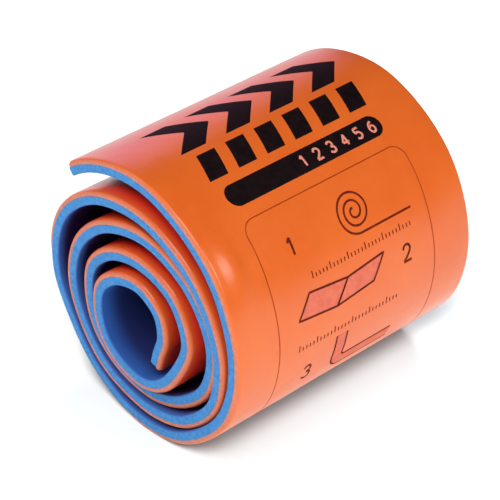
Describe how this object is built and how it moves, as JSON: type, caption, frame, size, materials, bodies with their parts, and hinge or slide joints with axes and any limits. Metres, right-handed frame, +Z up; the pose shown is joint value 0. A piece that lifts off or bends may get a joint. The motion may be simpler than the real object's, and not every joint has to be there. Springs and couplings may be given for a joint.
{
  "type": "moldable splint",
  "caption": "Flat foam splint strip rolled into a loose spiral and lying on its side, two bonded foam layers, free end lifting off the roll.",
  "frame": {"origin": "middle of the roll's footprint, on the surface that it rests on", "axes": "+Z up; Y along the roll's axis, with the end that shows the spiral in the picture at -Y; +X to the right as seen from that end"},
  "size_m": [0.0944, 0.1122, 0.0998],
  "materials": {
    "foam_orange": "smooth satin skin of closed-cell foam",
    "foam_blue": "smooth satin skin of closed-cell foam, matt on its cut edges"
  },
  "bodies": {
    "root": {"foam_outer": "foam_orange", "foam_inner": "foam_blue"}
  },
  "joints": []
}
